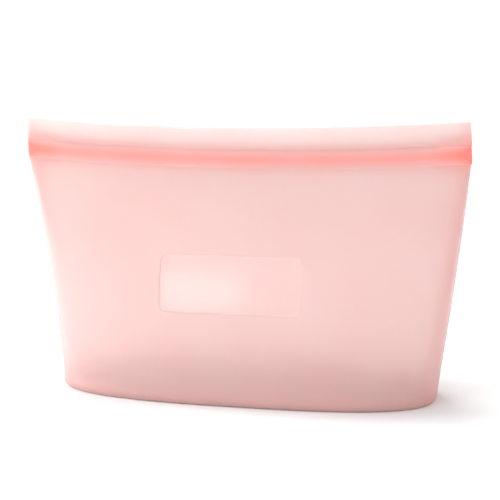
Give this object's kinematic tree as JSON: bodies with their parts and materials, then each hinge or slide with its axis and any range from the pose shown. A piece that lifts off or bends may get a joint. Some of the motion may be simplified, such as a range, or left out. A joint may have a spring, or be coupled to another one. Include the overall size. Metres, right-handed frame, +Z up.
{
  "type": "reusable silicone storage bag",
  "caption": "Wide, flared silicone pouch that stands on an oval base, opens at the top between two walls and shuts with a moulded press zip.",
  "frame": {"origin": "middle of the base, on the surface that the bag stands on", "axes": "+Z up, +X along the mouth, -Y the front, which has the clear window"},
  "size_m": [0.2358, 0.068, 0.144],
  "materials": {
    "frosted_silicone": "satin",
    "clear_silicone": "gloss",
    "zip_silicone": "satin",
    "rim_silicone": "satin"
  },
  "bodies": {
    "base": {"base_panel": "frosted_silicone", "foot_rim": "rim_silicone", "left_gusset": "frosted_silicone", "right_gusset": "frosted_silicone", "left_zip_stop": "zip_silicone", "right_zip_stop": "zip_silicone"},
    "front_flap": {"front_wall": "frosted_silicone", "clear_window": "clear_silicone", "front_zip_band": "zip_silicone", "zip_rib": "zip_silicone", "front_lip": "frosted_silicone"},
    "rear_flap": {"rear_wall": "frosted_silicone", "rear_zip_band": "zip_silicone", "upper_zip_jaw": "zip_silicone", "lower_zip_jaw": "zip_silicone", "rear_lip": "frosted_silicone"}
  },
  "joints": [
    {"name": "front_wall_open", "type": "hinge", "parent": "base", "child": "front_flap", "pos_m": [0, -0.034, 0.0037], "axis": [1, 0, 0], "range_deg": [0, 16]},
    {"name": "rear_wall_open", "type": "hinge", "parent": "base", "child": "rear_flap", "pos_m": [0, 0.034, 0.0037], "axis": [-1, 0, 0], "range_deg": [0, 16]}
  ],
  "couplings": [
    {"joint": "rear_wall_open", "follows": "front_wall_open", "ratio": 1}
  ]
}
